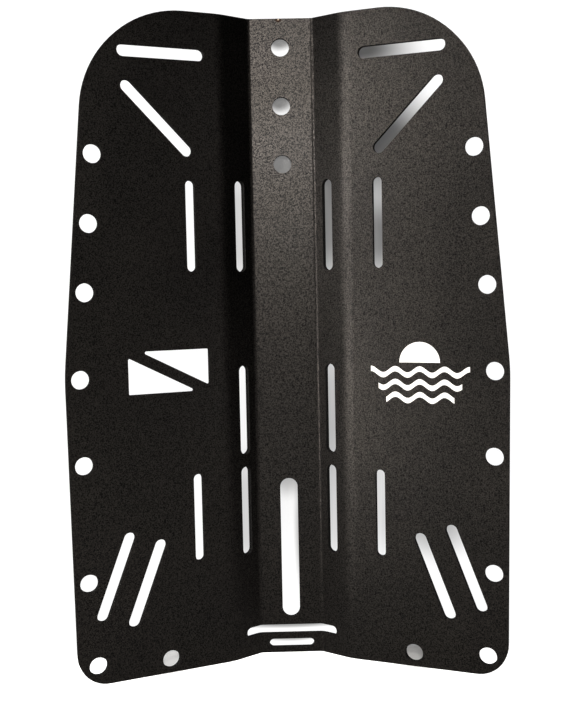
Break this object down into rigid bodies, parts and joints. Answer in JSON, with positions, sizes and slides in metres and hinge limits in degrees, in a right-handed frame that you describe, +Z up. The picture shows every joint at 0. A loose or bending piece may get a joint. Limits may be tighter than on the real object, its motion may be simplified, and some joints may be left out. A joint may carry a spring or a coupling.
{
  "type": "scuba backplate",
  "caption": "Bent black aluminium backplate for a diver's harness, with a central channel, webbing slots, bolt holes and a cut-out flag.",
  "frame": {"origin": "bottom centre of the plate's overall box, on the level of its straight lower edge", "axes": "+Z up along the channel towards the diver's head, +Y from the diver's back towards the tank, +X towards the diver's left"},
  "size_m": [0.2612, 0.0549, 0.4013],
  "materials": {
    "black_sheet": "black anodised, fine satin grain",
    "white_ink": "thin matt screen print"
  },
  "bodies": {
    "root": {"backplate": "black_sheet", "printed_sun": "white_ink", "printed_wave_top": "white_ink", "printed_wave_middle": "white_ink", "printed_wave_bottom": "white_ink"}
  },
  "joints": []
}
